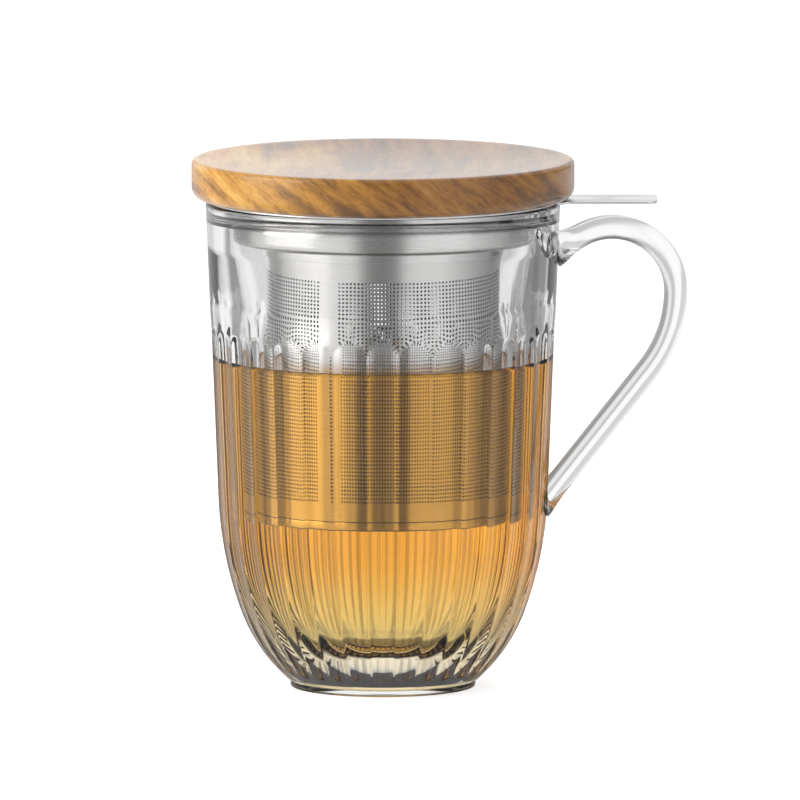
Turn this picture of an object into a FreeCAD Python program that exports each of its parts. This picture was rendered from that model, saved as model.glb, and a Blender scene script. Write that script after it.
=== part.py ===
import FreeCAD, Part
import math
import os
import PartDesign
import Sketcher
from FreeCAD import Rotation, Vector

# Lidded glass tea mug with a lift-out steel infuser. Millimetres.
# Origin: centre of the foot on the table. +Z up, +X towards the handle.

doc = FreeCAD.newDocument("tea_mug")
sheet = doc.addObject("Spreadsheet::Sheet", "Sizes")

sizes = {
    # Glass body, outside
    "rim_height": 117.6,
    "rim_radius": 42.8,
    "wall_lean": 3.1,
    "heel_top": 38.0,
    "heel_round": 55.0,
    "foot_height": 1.7,
    "foot_radius": 22.3,
    "foot_edge": 0.5,
    "punt_radius": 18.5,
    "punt_depth": 1.2,
    "lip_outer": 2.2,
    "lip_inner": 1.6,
    # Glass body, inside
    "bore_radius": 36.9,
    "bore_depth": 11.2,
    "throat_radius": 34.6,
    "throat_height": 93.0,
    "inner_lean": 2.6,
    "floor_height": 10.5,
    "bowl_round": 23.5,
    # Flutes pressed into the outside
    "flute_count": 32,
    "flute_top": 88.0,
    "flute_round": 14.0,
    "flute_land": 0.5,
    "flute_arch": 4.0,
    "flute_stop": 3.0,
    "flute_tongue": 4.0,
    "flute_sliver": 0.06,
    "band_margin": 1.0,
    # Glass handle
    "handle_reach": 70.9,
    "crown_drop": 6.3,
    "handle_bend": 15.3,
    "handle_sweep": 31.0,
    "handle_slope": 51.8,
    "handle_tilt": 28.0,
    "handle_thick": 5.7,
    "handle_width": 9.5,
    "handle_edge": 2.4,
    "root_bury": 0.9,
    "root_start": 5.9,
    "low_root_flare": 1.2,
    "high_root_flare": 3.0,
    "root_length": 18.0,
    # Drawn steel head of the infuser
    "sheet_steel": 0.6,
    "rim_gap": 0.05,
    "flange_radius": 42.3,
    "collar_gap": 0.8,
    "collar_depth": 9.3,
    "collar_round": 1.9,
    "neck_depth": 2.7,
    "neck_wall": 0.35,
    "tab_reach": 65.9,
    "tab_width": 16.0,
    "tab_corner": 2.5,
    # Filter tube and its base cap
    "tube_radius": 28.6,
    "tube_taper": 1.0,
    "tube_length": 65.35,
    "tube_wall": 0.4,
    "tube_fit": 0.05,
    "cap_height": 2.1,
    "cap_wall": 0.6,
    "cap_spigot": 2.5,
    "cap_round": 0.5,
    # Wooden lid and its seal
    "lid_radius": 46.1,
    "lid_gap": 0.05,
    "lid_thick": 9.5,
    "lid_base_round": 3.0,
    "lid_top_round": 1.2,
    "dish_edge": 2.6,
    "dish_depth": 1.7,
    "plug_gap": 1.2,
    "plug_depth": 7.0,
    "plug_chamfer": 0.8,
    "seal_height": 2.4,
    "seal_groove": 1.4,
    "seal_drop": 2.4,
    "seal_slack": 0.1,
    "seal_gap": 0.12,
}

for row, (alias, number) in enumerate(sizes.items(), start=1):
    sheet.set("A%d" % row, alias)
    sheet.set("B%d" % row, str(number))
    sheet.setAlias("B%d" % row, alias)
doc.recompute()


def named(formula):
    # A formula in the names of the sheet, as an expression of the document
    words = []
    word = ""
    for letter in formula + " ":
        if letter.isalnum() or letter == "_":
            word += letter
            continue
        words.append("Sizes." + word if word in sizes else word)
        words.append(letter)
        word = ""
    return "".join(words).strip()


def amount(formula):
    # The number that a formula gives with the sheet's present sizes
    found = sheet.evalExpression(named(formula))
    return float(getattr(found, "Value", found))


# Chords that stand for a small round, a round of the handle, the bowl and the heel. Then how
# far up a flute's arched end its rings stand, and where the lid's dish has its chords.

roundChords = 3
barChords = 2
bowlChords = 8
heelChords = 5
sealChords = 4
archShares = (0.93, 0.75, 0.45, 0.0)
dishShares = (1, 0.8, 0.55, 0.3)

# Places that several pieces share, each a formula of the sizes

heelX = "(rim_radius - (rim_height - heel_top) * tan(wall_lean))"
footSine = "(sin(wall_lean) + (heel_top - foot_height) / heel_round)"
heelEndX = "(%s - heel_round * (cos(wall_lean) - cos(asin(%s))))" % (heelX, footSine)
collarRadius = "(bore_radius - collar_gap)"
flangeLow = "(rim_height + rim_gap)"
flangeTop = "(rim_height + rim_gap + sheet_steel)"
collarLow = "(rim_height + rim_gap - collar_depth)"
neckLow = "(%s - neck_depth)" % collarLow
neckInner = "(tube_radius + tube_fit)"
tubeTop = "(%s + sheet_steel)" % collarLow
tubeLow = "(%s - tube_length)" % tubeTop
tubeEnd = "(tube_radius - tube_taper)"
capLow = "(%s - cap_height)" % tubeLow
spigotRadius = "(%s - tube_wall - tube_fit)" % tubeEnd
lidLow = "(%s + lid_gap)" % flangeTop
lidTop = "(%s + lid_thick)" % lidLow
plugRadius = "(%s - sheet_steel - plug_gap)" % collarRadius
grooveRadius = "(%s - seal_groove)" % plugRadius
sealTop = "(%s - seal_drop)" % lidLow
sealLow = "(%s - seal_height)" % sealTop
sealOuter = "(%s - sheet_steel - seal_gap)" % collarRadius


def plane(body, role):
    for part in body.Origin.OriginFeatures:
        if part.Role == role:
            return part
    raise ValueError("no origin part " + role)


def newBody(name):
    body = doc.addObject("PartDesign::Body", name)
    body.Label = name
    return body


def newSketch(body, name, role="XZ_Plane"):
    sketch = body.newObject("Sketcher::SketchObject", name)
    sketch.AttachmentSupport = [(plane(body, role), "")]
    sketch.MapMode = "FlatFace"
    doc.recompute()
    return sketch


def pin(sketch, piece, end, place):
    # Hold one end of a line or arc at a place that two formulas give
    axes = (("DistanceX", -2), ("DistanceY", -1))
    for (kind, axis), formula in zip(axes, place):
        if formula == "0":
            sketch.addConstraint(Sketcher.Constraint("PointOnObject", piece, end, axis))
            continue
        rule = Sketcher.Constraint(kind, -1, 1, piece, end, amount(formula))
        number = sketch.addConstraint(rule)
        sketch.setExpression("Constraints[%d]" % number, named(formula))


def arcThrough(start, stop, radius, side):
    # The arc under a half circle from start to stop, with its centre on that side
    chord = stop - start
    rise = math.sqrt(max(radius * radius - chord.Length * chord.Length / 4, 0))
    across = Vector(-chord.y, chord.x, 0) / chord.Length
    if side == "right":
        across = across * -1
    centre = (start + stop) / 2 + across * rise
    ends = [start, stop] if side == "left" else [stop, start]
    angles = [math.atan2(end.y - centre.y, end.x - centre.x) for end in ends]
    return Part.ArcOfCircle(Part.Circle(centre, Vector(0, 0, 1), radius), *angles)


def draw(sketch, steps, closed=True):
    # Each step is a place, reached by a line, or by an arc if it names a radius and side
    places = [Vector(amount(step[0]), amount(step[1]), 0) for step in steps]
    count = len(steps) if closed else len(steps) - 1
    ends = []
    for index in range(count):
        target = (index + 1) % len(steps)
        step = steps[target]
        if len(step) == 2:
            piece = sketch.addGeometry(Part.LineSegment(places[index], places[target]), False)
            ends.append((piece, 1, 2))
            continue
        arc = arcThrough(places[index], places[target], amount(step[2]), step[3])
        piece = sketch.addGeometry(arc, False)
        ends.append((piece, 1, 2) if step[3] == "left" else (piece, 2, 1))
        number = sketch.addConstraint(Sketcher.Constraint("Radius", piece, amount(step[2])))
        sketch.setExpression("Constraints[%d]" % number, named(step[2]))
    for index in range(1 if not closed else 0, count):
        last = ends[index - 1]
        here = ends[index]
        joined = Sketcher.Constraint("Coincident", last[0], last[2], here[0], here[1])
        sketch.addConstraint(joined)
    for index in range(count):
        pin(sketch, ends[index][0], ends[index][1], steps[index][:2])
    if not closed:
        pin(sketch, ends[-1][0], ends[-1][2], steps[-1][:2])


def bend(centreX, centreZ, radius, start, stop, chords=roundChords):
    # Places on an arc round a centre, from one angle to another in degrees, joined by chords
    places = []
    for index in range(chords + 1):
        angle = "(%s + (%s - (%s)) * %s / %s)" % (start, stop, start, index, chords)
        across = "%s + (%s) * cos%s" % (centreX, radius, angle)
        places.append((across, "%s + (%s) * sin%s" % (centreZ, radius, angle)))
    return places


def revolve(body, name, steps):
    sketch = newSketch(body, name + "_profile")
    draw(sketch, steps)
    turned = body.newObject("PartDesign::Revolution", name)
    turned.Profile = sketch
    turned.ReferenceAxis = (sketch, ["V_Axis"])
    turned.Angle = 360
    return turned


# Glass body, outside: a straight leaning wall and a round heel, with flutes pressed in


def wallAt(drop):
    # Radius and height of the plain wall at a length down its outline from the heel's top
    lean = math.radians(amount("wall_lean"))
    if drop < 0:
        return amount(heelX) - drop * math.sin(lean), amount("heel_top") - drop * math.cos(lean)
    turn = lean + drop / amount("heel_round")
    radius = amount(heelX) - amount("heel_round") * (math.cos(lean) - math.cos(turn))
    return radius, amount("heel_top") - amount("heel_round") * (math.sin(turn) - math.sin(lean))


def fluteRing(drop, share):
    # One closed ring round the wall: lands on the wall, hollows between them.
    # The hollows have this share of their full width, and their depth follows from it.
    radius, height = wallAt(drop)
    count = int(amount("flute_count"))
    pitch = 2 * math.pi / count
    half = share * (math.pi * radius / count - amount("flute_land") / 2)
    depth = half * half / 2 * (1 / amount("flute_round") + 1 / radius)
    reach = half / radius

    def spot(distance, angle):
        return Vector(distance * math.cos(angle), distance * math.sin(angle), height)

    edges = []
    for index in range(count):
        middle = index * pitch
        after = middle + pitch / 2
        left = spot(radius, middle - reach)
        right = spot(radius, middle + reach)
        following = spot(radius, middle + pitch - reach)
        edges.append(Part.Arc(left, spot(radius - depth, middle), right).toShape())
        edges.append(Part.Arc(right, spot(radius, after), following).toShape())
    return Part.Wire(edges)


def fluteRings():
    # Rings from the smooth band down: arched tops, the long hollows, tongues over the heel
    lean = math.radians(amount("wall_lean"))
    heelLength = amount("heel_round") * (amount("asin(%s)" % footSine) * math.pi / 180 - lean)
    top = -(amount("flute_top") - amount("heel_top")) / math.cos(lean)
    arch = amount("flute_arch")
    low = heelLength - amount("flute_stop")
    tongue = amount("flute_tongue")
    closed = amount("flute_sliver")
    rings = [fluteRing(top - amount("band_margin"), closed), fluteRing(top, closed)]
    for part in archShares:
        rings.append(fluteRing(top + arch * (1 - part), math.sqrt(1 - part * part)))
    rings.append(fluteRing(0, 1))
    for step in range(1, heelChords):
        rings.append(fluteRing((low - tongue) * step / heelChords, 1))
    for part in reversed(archShares):
        rings.append(fluteRing(low - tongue * (1 - part), math.sqrt(1 - part * part)))
    rings.append(fluteRing(low, closed))
    rings.append(fluteRing(heelLength, closed))
    return rings


skirt = doc.addObject("Part::Feature", "fluted_skirt")
skirt.Shape = Part.makeLoft(fluteRings(), True, True)
skirt.Placement = FreeCAD.Placement()

bandLow = "(flute_top + band_margin * cos(wall_lean))"
bandLowX = "(rim_radius - (rim_height - %s) * tan(wall_lean))" % bandLow
outerLipX = "(rim_radius - lip_outer * tan(wall_lean))"
glassBand = newBody("glass_band")
revolve(glassBand, "band_solid", [
    ("0", bandLow),
    (bandLowX, bandLow),
    (outerLipX, "rim_height - lip_outer"),
] + bend("rim_radius - lip_outer", "rim_height - lip_outer", "lip_outer", "0", "90")[1:] + [
    ("0", "rim_height"),
])

glassFoot = newBody("glass_foot")
revolve(glassFoot, "foot_solid", [
    ("0", "punt_depth"),
    ("punt_radius - punt_depth", "punt_depth"),
    ("punt_radius", "0"),
    ("foot_radius - foot_edge", "0"),
    ("foot_radius", "foot_edge"),
    ("foot_radius", "foot_height"),
    ("0", "foot_height"),
])

# Glass body, inside: a straight mouth for the collar, a leaning bowl and a round floor

bowlX = (
    "(throat_radius - bowl_round * cos(inner_lean)"
    " - (throat_height - floor_height - bowl_round + bowl_round * sin(inner_lean)) * tan(inner_lean))"
)
bowlZ = "(floor_height + bowl_round)"
glassHollow = newBody("glass_hollow")
revolve(glassHollow, "hollow_solid", [
    ("0", "floor_height"),
] + bend(bowlX, bowlZ, "bowl_round", "-90", "-inner_lean", bowlChords) + [
    ("throat_radius", "throat_height"),
    ("bore_radius", "rim_height - bore_depth"),
] + bend("bore_radius + lip_inner", "rim_height - lip_inner", "lip_inner", "180", "90") + [
    ("bore_radius + lip_inner", "rim_height + lip_inner"),
    ("0", "rim_height + lip_inner"),
])

glassSolid = doc.addObject("Part::MultiFuse", "glass_solid")
glassSolid.Shapes = [glassBand, skirt, glassFoot]
mugBody = doc.addObject("Part::Cut", "mug_body")
mugBody.Base = glassSolid
mugBody.Tool = glassHollow
mugBody.Label = "mug_body"

# Glass handle: an oblong section carried round a hook of lines and arcs, flared at both roots

bendX = "(handle_reach - handle_bend)"
bendZ = "(rim_height - crown_drop - handle_bend)"
sweepX = "(handle_reach - handle_sweep * (1 - sin(handle_slope)))"
sweepZ = "(%s - handle_sweep * cos(handle_slope))" % bendZ
tiltX = "(%s - handle_bend * sin(handle_tilt))" % bendX
tiltZ = "(%s + handle_bend * cos(handle_tilt))" % bendZ
rootX = "(bore_radius - root_start)"
lowRootZ = "(%s - (%s - %s) * tan(handle_slope))" % (sweepZ, sweepX, rootX)
highRootZ = "(%s - (%s - %s) * tan(handle_tilt))" % (tiltZ, tiltX, rootX)

handleBar = newBody("handle_bar")
handlePath = newSketch(handleBar, "handle_path")
draw(handlePath, [
    (rootX, lowRootZ),
    (sweepX, sweepZ),
    ("handle_reach", bendZ, "handle_sweep", "left"),
    (tiltX, tiltZ, "handle_bend", "left"),
    (rootX, highRootZ),
], closed=False)
doc.recompute()


def oblong(name, edge, spot, growth, shift):
    # The handle's section, square to an edge of its path at a share of its length, larger by
    # the growth and moved along the path by the shift
    sketch = handleBar.newObject("Sketcher::SketchObject", name)
    sketch.AttachmentSupport = [(handlePath, edge)]
    sketch.MapMode = "NormalToEdge"
    sketch.MapPathParameter = spot
    sketch.setExpression("AttachmentOffset.Base.z", named(shift))
    doc.recompute()
    middleX = "(handle_width / 2 + %s - handle_edge)" % growth
    middleY = "(handle_thick / 2 + %s - handle_edge)" % growth
    places = bend(middleX, middleY, "handle_edge", "0", "90", barChords)
    places += bend("-" + middleX, middleY, "handle_edge", "90", "180", barChords)
    places += bend("-" + middleX, "-" + middleY, "handle_edge", "180", "270", barChords)
    places += bend(middleX, "-" + middleY, "handle_edge", "270", "360", barChords)
    draw(sketch, places)
    return sketch


handleSection = oblong("handle_section", "Edge1", 0, "0", "0")
handlePipe = handleBar.newObject("PartDesign::AdditivePipe", "handle_pipe")
handlePipe.Profile = handleSection
handlePipe.Spine = (handlePath, [])
doc.recompute()

# Each root grows wider towards the wall, from a slim section out on the bar to a wide one that
# ends inside the glass

roots = (("low_root", "Edge1", 0, "-root_length"), ("high_root", "Edge4", 1, "root_length"))
for name, edge, spot, shift in roots:
    wide = oblong(name + "_wide", edge, spot, name + "_flare", "0")
    slim = oblong(name + "_slim", edge, spot, "0", shift)
    flare = handleBar.newObject("PartDesign::AdditiveLoft", name + "_swell")
    flare.Profile = wide
    flare.Sections = [slim]
    flare.Ruled = True
    doc.recompute()

rootCircle = newSketch(handleBar, "root_circle", "XY_Plane")
rootRadius = "(bore_radius + root_bury)"
rootCircle.addGeometry(Part.Circle(Vector(0, 0, 0), Vector(0, 0, 1), amount(rootRadius)), False)
rootCircle.addConstraint(Sketcher.Constraint("Coincident", 0, 3, -1, 1))
rootCircle.addConstraint(Sketcher.Constraint("Radius", 0, amount(rootRadius)))
rootCircle.setExpression("Constraints[1]", named(rootRadius))
rootPocket = handleBar.newObject("PartDesign::Pocket", "root_pocket")
rootPocket.Profile = rootCircle
rootPocket.Type = "ThroughAll"
rootPocket.Midplane = True
handleBar.Tip = rootPocket

mugHandle = doc.addObject("Part::Cut", "mug_handle")
mugHandle.Base = handleBar
mugHandle.Tool = mugBody
mugHandle.Label = "mug_handle"

# Infuser head: one drawn sheet with a flange, a deep collar, a shoulder, a neck and a thumb tab

collarBendX = "%s - collar_round" % collarRadius
collarBendZ = "%s + collar_round" % collarLow
head = newBody("infuser_head")
revolve(head, "head_drawn", [
    ("flange_radius", flangeLow),
    ("flange_radius", flangeTop),
    (collarRadius, flangeTop),
    (collarRadius + " - sheet_steel", flangeLow),
] + bend(collarBendX, collarBendZ, "(collar_round - sheet_steel)", "0", "-90") + [
    (neckInner, collarLow + " + sheet_steel"),
    (neckInner, neckLow),
    (neckInner + " + neck_wall", neckLow),
    (neckInner + " + neck_wall", collarLow),
] + bend(collarBendX, collarBendZ, "collar_round", "-90", "0") + [
    (collarRadius, flangeLow),
])
tabSketch = newSketch(head, "tab_outline", "XY_Plane")
tabSketch.setExpression("AttachmentOffset.Base.z", named(flangeLow))
draw(tabSketch, [
    (collarRadius + " + sheet_steel", "-tab_width / 2"),
    ("tab_reach - tab_corner", "-tab_width / 2"),
    ("tab_reach", "-tab_width / 2 + tab_corner", "tab_corner", "left"),
    ("tab_reach", "tab_width / 2 - tab_corner"),
    ("tab_reach - tab_corner", "tab_width / 2", "tab_corner", "left"),
    (collarRadius + " + sheet_steel", "tab_width / 2"),
])
tabPad = head.newObject("PartDesign::Pad", "thumb_tab")
tabPad.Profile = tabSketch
tabPad.setExpression("Length", named("sheet_steel"))
doc.recompute()

# Filter tube: rolled sheet, a little narrower at the foot, tucked up inside the neck

tube = newBody("filter_tube")
revolve(tube, "tube_wall_turned", [
    (tubeEnd, tubeLow),
    ("tube_radius", tubeTop),
    ("tube_radius - tube_wall", tubeTop),
    (tubeEnd + " - tube_wall", tubeLow),
])

# Base cap: a pressed cup whose rim is flush with the tube and whose spigot stands inside it

cap = newBody("filter_cap")
revolve(cap, "cap_pressed", [
    ("0", capLow),
    (tubeEnd + " - cap_round", capLow),
    (tubeEnd, capLow + " + cap_round"),
    (tubeEnd, tubeLow),
    (spigotRadius, tubeLow),
    (spigotRadius, tubeLow + " + cap_spigot"),
    (spigotRadius + " - cap_wall", tubeLow + " + cap_spigot"),
    (spigotRadius + " - cap_wall", capLow + " + cap_wall"),
    ("0", capLow + " + cap_wall"),
])

# Lid: a turned wooden disc, dished on top, with a plug that locates it in the collar

dishReach = "(lid_radius - dish_edge)"
lidBaseX = "lid_radius - lid_base_round"
lidBaseZ = "%s + lid_base_round" % lidLow
lid = newBody("lid_disc")
revolve(lid, "lid_turned", [
    ("0", lidLow + " - plug_depth"),
    (plugRadius + " - plug_chamfer", lidLow + " - plug_depth"),
    (plugRadius, lidLow + " - plug_depth + plug_chamfer"),
    (plugRadius, sealLow),
    (grooveRadius, sealLow),
    (grooveRadius, sealTop),
    (plugRadius, sealTop),
    (plugRadius, lidLow),
] + bend(lidBaseX, lidBaseZ, "lid_base_round", "-90", "0") + [
    ("lid_radius", lidTop + " - lid_top_round"),
    ("lid_radius - lid_top_round", lidTop),
] + [
    # The dish, a parabola in chords
    (dishReach + " * %s" % share, lidTop + " - dish_depth * %s" % (1 - share * share))
    for share in dishShares
] + [
    ("0", lidTop + " - dish_depth"),
])

# Seal: a soft ring in the plug's groove, just clear of the collar

seal = newBody("lid_seal")
sealHalf = "((seal_height - 2 * seal_slack) / 2)"
sealBendX = "%s - %s" % (sealOuter, sealHalf)
sealBendZ = "%s + seal_height / 2" % sealLow
revolve(seal, "seal_moulded", [
    (grooveRadius + " + seal_slack", sealLow + " + seal_slack"),
] + bend(sealBendX, sealBendZ, sealHalf, "-90", "90", sealChords) + [
    (grooveRadius + " + seal_slack", sealTop + " - seal_slack"),
])

doc.recompute()
pieces = [mugBody, mugHandle, head, tube, cap, lid, seal]

for thing in doc.Objects:
    if "Invalid" in thing.State or "Error" in thing.State:
        raise RuntimeError("%s failed: %s" % (thing.Name, thing.State))
for piece in pieces:
    shape = piece.Shape
    if shape.isNull() or not shape.isValid() or len(shape.Solids) != 1:
        raise RuntimeError("%s has a bad shape" % piece.Label)

os.makedirs("parts", exist_ok=True)
for piece in pieces:
    piece.Shape.exportStep("parts/%s.step" % piece.Label)
    box = piece.Shape.BoundBox
    span = (box.XMin, box.XMax, box.YMin, box.YMax, box.ZMin, box.ZMax)
    print(piece.Label, round(piece.Shape.Volume, 1), [round(side, 2) for side in span])
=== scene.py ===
import math
import bmesh
import bpy
import numpy as np
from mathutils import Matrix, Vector


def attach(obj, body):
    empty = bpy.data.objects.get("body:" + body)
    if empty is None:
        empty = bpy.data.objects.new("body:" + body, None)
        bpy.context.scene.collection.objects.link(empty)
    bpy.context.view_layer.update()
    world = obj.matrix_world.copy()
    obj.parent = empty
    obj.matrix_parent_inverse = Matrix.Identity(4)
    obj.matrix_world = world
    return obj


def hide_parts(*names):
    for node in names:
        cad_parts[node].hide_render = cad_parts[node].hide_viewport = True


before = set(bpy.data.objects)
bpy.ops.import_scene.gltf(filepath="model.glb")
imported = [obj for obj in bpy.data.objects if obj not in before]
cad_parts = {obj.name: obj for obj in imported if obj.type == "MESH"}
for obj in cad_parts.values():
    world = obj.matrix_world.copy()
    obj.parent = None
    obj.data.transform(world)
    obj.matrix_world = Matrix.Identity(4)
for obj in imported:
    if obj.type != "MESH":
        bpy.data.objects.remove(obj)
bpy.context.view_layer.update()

mm = 0.001
poleRadius = 0.6  # smallest ring, round the middle point that closes a turned surface
mergeDistance = 1e-6  # metres


# Meshes: every shape is a grid of points, worked out as whole arrays in millimetres

def gridMesh(name, points, closeStart=False, closeEnd=False):
    # Rows of points joined by quads; each row is a ring, so its last point meets its first.
    # A closed start or end gets one middle point, the mean of its ring, and a fan of triangles.
    rows, cols = points.shape[:2]
    row = np.arange(rows - 1)[:, None] * cols
    col = np.arange(cols)[None, :]
    after = (col + 1) % cols
    quads = np.stack([row + col, row + after, row + cols + after, row + cols + col], axis=-1)
    faces = quads.reshape(-1, 4).tolist()
    verts = [points.reshape(-1, 3)]
    count = rows * cols
    ring = np.arange(cols)
    turned = np.roll(ring, -1)
    if closeStart:
        verts.append(points[0].mean(axis=0)[None])
        middle = np.full(cols, count)
        faces += np.stack([middle, turned, ring], axis=-1).tolist()
        count += 1
    if closeEnd:
        verts.append(points[-1].mean(axis=0)[None])
        middle = np.full(cols, count)
        base = (rows - 1) * cols
        faces += np.stack([middle, base + ring, base + turned], axis=-1).tolist()
    return newPiece(name, np.concatenate(verts), faces)


def newPiece(name, verts, faces):
    # Points in millimetres become a smooth-shaded mesh in metres, on an object at the origin
    mesh = bpy.data.meshes.new(name)
    mesh.from_pydata((np.asarray(verts) * mm).tolist(), [], faces)
    mesh.polygons.foreach_set("use_smooth", np.ones(len(mesh.polygons), bool))
    mesh.update()
    piece = bpy.data.objects.new(name, mesh)
    bpy.context.scene.collection.objects.link(piece)
    return piece


def roundedLine(corners, step=7.0):
    # A line through (radius, height, rounding) corners, each rounded by an arc tangent to both
    # its runs, with a point every few degrees of the arc.
    corners = [np.array(corner, float) for corner in corners]
    line = [corners[0][:2]]
    for last, here, following in zip(corners, corners[1:], corners[2:]):
        before = (last[:2] - here[:2]) / np.linalg.norm(last[:2] - here[:2])
        beyond = (following[:2] - here[:2]) / np.linalg.norm(following[:2] - here[:2])
        turn = math.pi - math.acos(np.clip(before @ beyond, -1, 1))
        if here[2] <= 0 or turn < 0.01:
            line.append(here[:2])
            continue
        reach = here[2] * math.tan(turn / 2)
        middle = (before + beyond) / np.linalg.norm(before + beyond)
        centre = here[:2] + middle * here[2] / math.cos(turn / 2)
        start = here[:2] + before * reach - centre
        side = np.sign(start[0] * (here[1] - centre[1]) - start[1] * (here[0] - centre[0]))
        count = max(3, int(math.degrees(turn) / step) + 2)
        angles = side * np.linspace(0, turn, count)
        arc = np.stack([start[0] * np.cos(angles) - start[1] * np.sin(angles),
                        start[0] * np.sin(angles) + start[1] * np.cos(angles)], axis=-1)
        line.extend(centre + arc)
    line.append(corners[-1][:2])
    return np.array(line)


def spun(name, profile, segments=192, closeStart=False, closeEnd=False, loop=False):
    # A profile of (radius, height) points turned once round the Z axis.
    # With loop on, the last point joins the first, so that a wall closes on itself.
    profile = np.asarray(profile)
    if loop:
        profile = np.concatenate([profile, profile[:1]])
    angle = np.linspace(0, 2 * math.pi, segments, endpoint=False)
    radius = profile[:, 0][:, None]
    height = np.repeat(profile[:, 1][:, None], segments, axis=1)
    points = np.stack([radius * np.cos(angle), radius * np.sin(angle), height], axis=-1)
    piece = gridMesh(name, points, closeStart, closeEnd)
    if loop:
        mergeDoubles(piece)
    return piece


def mergeDoubles(piece):
    # Points closer than the merge distance become one, then every face is turned outwards
    bm = bmesh.new()
    bm.from_mesh(piece.data)
    bmesh.ops.remove_doubles(bm, verts=bm.verts, dist=mergeDistance)
    bmesh.ops.recalc_face_normals(bm, faces=bm.faces)
    bm.to_mesh(piece.data)
    bm.free()


# Glass body

mugSizes = {  # millimetres, leans and turns in degrees
    "rimHeight": 117.6, "rimRadius": 42.7, "wallLean": 2.3, "lipOuter": 0.9, "lipInner": 0.7,
    "heelTop": 46.25, "waistRound": 90.7, "waistTurn": 18.2, "heelRound": 40.0,
    "footHeight": 1.7, "footRadius": 22.3, "footRound": 0.6, "footTopRound": 0.25,
    "puntRadius": 18.5, "puntDepth": 2.8, "puntLean": 0.3,  # the hollow under the foot
    "puntRound": 0.3, "puntRoofRound": 0.4,
    "boreRadius": 36.9, "boreDepth": 11.2, "boreRound": 9.0,  # seat of the infuser's collar
    "throatRadius": 34.6, "throatHeight": 93.0, "throatRound": 14.0,
    "innerLean": 2.6, "floorHeight": 13.0, "bowlRound": 23.5,
    "fluteCount": 32, "fluteTop": 88.0, "fluteRound": 14.0, "fluteLand": 0.5,
    "fluteArch": 4.0, "fluteStop": 3.0, "fluteTongue": 4.0, "fluteSoft": 0.035,
}
# Places across one flute where the mesh has a line, as shares of half its pitch, close at the land
fluteLines = [0.0, 0.018, 0.034, 0.055, 0.09, 0.15, 0.23, 0.32, 0.41]


def heelX():
    # Radius of the plain wall at the waist: the rim's, less the drop times the lean's tangent
    lean = math.radians(mugSizes["wallLean"])
    return mugSizes["rimRadius"] - (mugSizes["rimHeight"] - mugSizes["heelTop"]) * math.tan(lean)


def outline(drop):
    # Plain wall at a length down its outline from the waist: straight above it, then a long arc,
    # then a shorter one that runs on to the foot. Gives radius, height and the wall's slope.
    lean = math.radians(mugSizes["wallLean"])
    bend = math.radians(mugSizes["waistTurn"])
    longRound, shortRound = mugSizes["waistRound"], mugSizes["heelRound"]
    above = np.minimum(drop, 0)
    first = lean + np.clip(drop / longRound, 0, bend)
    second = lean + bend + np.maximum(drop - longRound * bend, 0) / shortRound
    radius = heelX() - above * math.sin(lean)
    radius = radius - longRound * (math.cos(lean) - np.cos(first))
    radius = radius - shortRound * (math.cos(lean + bend) - np.cos(second))
    height = mugSizes["heelTop"] - above * math.cos(lean)
    height = height - longRound * (np.sin(first) - math.sin(lean))
    height = height - shortRound * (np.sin(second) - math.sin(lean + bend))
    return radius, height, first + second - lean - bend


def heelLength():
    # Length from the waist to the foot: the drop whose height is the foot's
    drops = np.linspace(0, 80, 4001)
    height = outline(drops)[1]
    return float(np.interp(-mugSizes["footHeight"], -height, drops))


def fluteShare(drop):
    # Share of a flute's full width: a round arch at the top and a round tongue at the bottom
    lean = math.radians(mugSizes["wallLean"])
    top = -(mugSizes["fluteTop"] - mugSizes["heelTop"]) / math.cos(lean)
    low = heelLength() - mugSizes["fluteStop"]
    arch = np.clip((top + mugSizes["fluteArch"] - drop) / mugSizes["fluteArch"], 0, 1)
    tongue = np.clip((drop - low + mugSizes["fluteTongue"]) / mugSizes["fluteTongue"], 0, 1)
    return np.sqrt(np.clip(1 - arch ** 2, 0, 1)) * np.sqrt(np.clip(1 - tongue ** 2, 0, 1))


def fluteHollow(drop, radius, angle):
    # Depth of the hollow: a parabola across each flute, softly cut off where it meets the land
    pitch = 2 * math.pi / mugSizes["fluteCount"]
    across = (angle + pitch / 2) % pitch - pitch / 2
    half = fluteShare(drop) * (radius * pitch / 2 - mugSizes["fluteLand"] / 2)
    depth = half ** 2 / 2 * (1 / mugSizes["fluteRound"] + 1 / radius)
    shape = depth * (1 - (across * radius / np.maximum(half, 0.05)) ** 2)
    soft = np.minimum(mugSizes["fluteSoft"], depth * 0.3) + 1e-6
    return (shape + np.sqrt(shape ** 2 + soft ** 2)) / 2


def innerLine():
    # Inside of the glass from the mouth down to the middle of the floor, as rounded corners
    lean = math.radians(mugSizes["innerLean"])
    fall = mugSizes["throatHeight"] - mugSizes["floorHeight"]
    floorX = mugSizes["throatRadius"] - fall * math.tan(lean)
    return [
        (mugSizes["boreRadius"], mugSizes["rimHeight"], mugSizes["lipInner"]),
        (mugSizes["boreRadius"], mugSizes["rimHeight"] - mugSizes["boreDepth"], mugSizes["boreRound"]),
        (mugSizes["throatRadius"], mugSizes["throatHeight"], mugSizes["throatRound"]),
        (floorX, mugSizes["floorHeight"], mugSizes["bowlRound"]),
        (poleRadius, mugSizes["floorHeight"], 0),
    ]


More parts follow.
